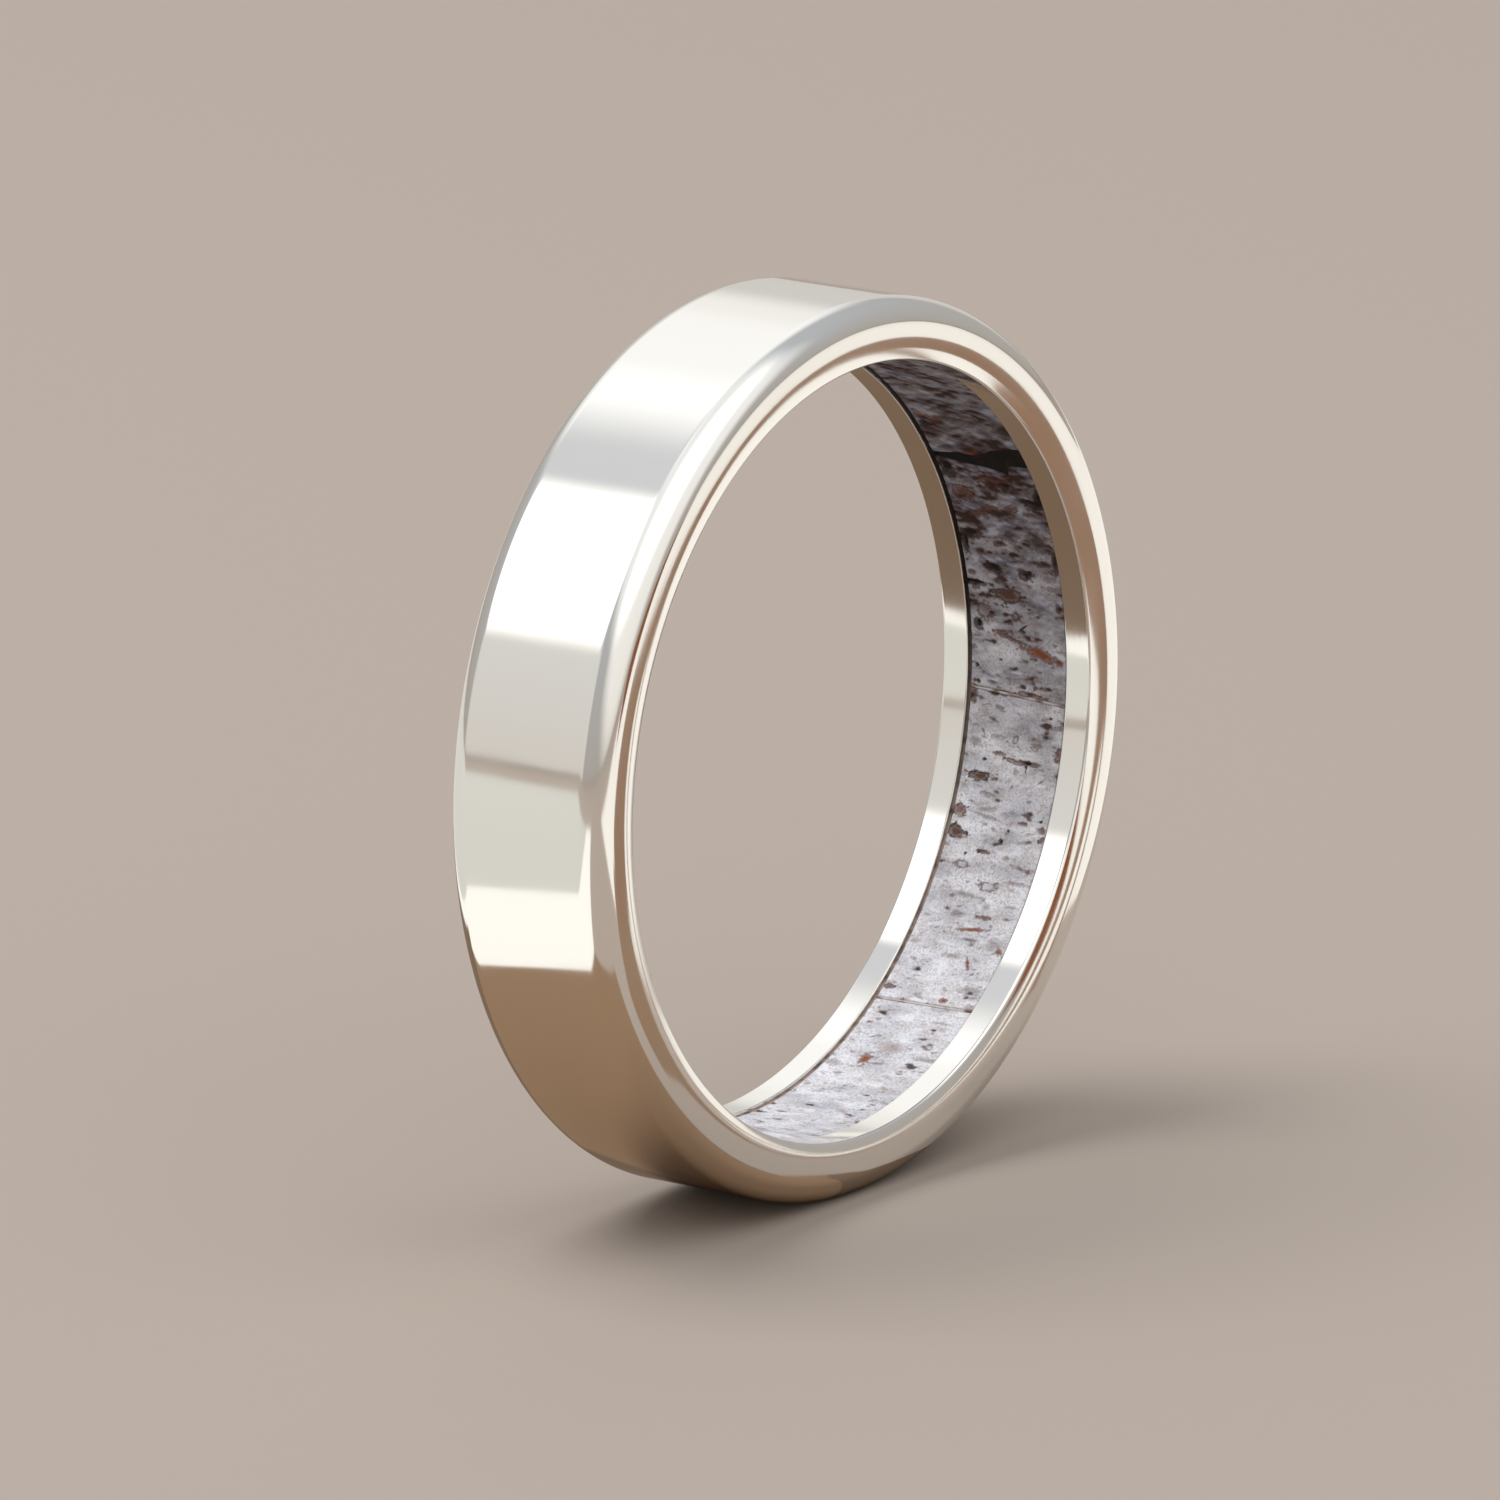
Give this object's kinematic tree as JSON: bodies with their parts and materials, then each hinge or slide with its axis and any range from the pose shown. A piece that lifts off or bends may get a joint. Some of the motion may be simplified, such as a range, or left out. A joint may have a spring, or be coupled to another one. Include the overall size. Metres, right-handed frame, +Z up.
{
  "type": "wedding band",
  "caption": "Flat polished metal finger ring with rounded corners and an inner channel lined with curved antler strips set in dark resin.",
  "frame": {"origin": "centre of the finger bore, halfway between the two side faces", "axes": "+Y along the bore from the front side face to the rear side face; +Z up with the band standing on its rim; +X to the right seen from the front"},
  "size_m": [0.0239, 0.005, 0.0238],
  "materials": {
    "white_gold": "high polish",
    "antler": "fine sanded, sealed",
    "dark_resin": "cured, sanded back",
    "cured_adhesive": "cured, hidden"
  },
  "bodies": {
    "root": {"band": "white_gold", "adhesive_bed": "cured_adhesive", "front_seam_fill": "dark_resin", "rear_seam_fill": "dark_resin", "antler_strip_1": "antler", "antler_strip_2": "antler", "antler_strip_3": "antler", "antler_strip_4": "antler", "antler_strip_5": "antler", "antler_strip_6": "antler", "antler_strip_7": "antler", "antler_strip_8": "antler", "antler_strip_9": "antler", "joint_fill_1": "dark_resin", "joint_fill_2": "dark_resin", "joint_fill_3": "dark_resin", "joint_fill_4": "dark_resin", "joint_fill_5": "dark_resin", "joint_fill_6": "dark_resin", "joint_fill_7": "dark_resin", "joint_fill_8": "dark_resin", "joint_fill_9": "dark_resin"}
  },
  "joints": []
}
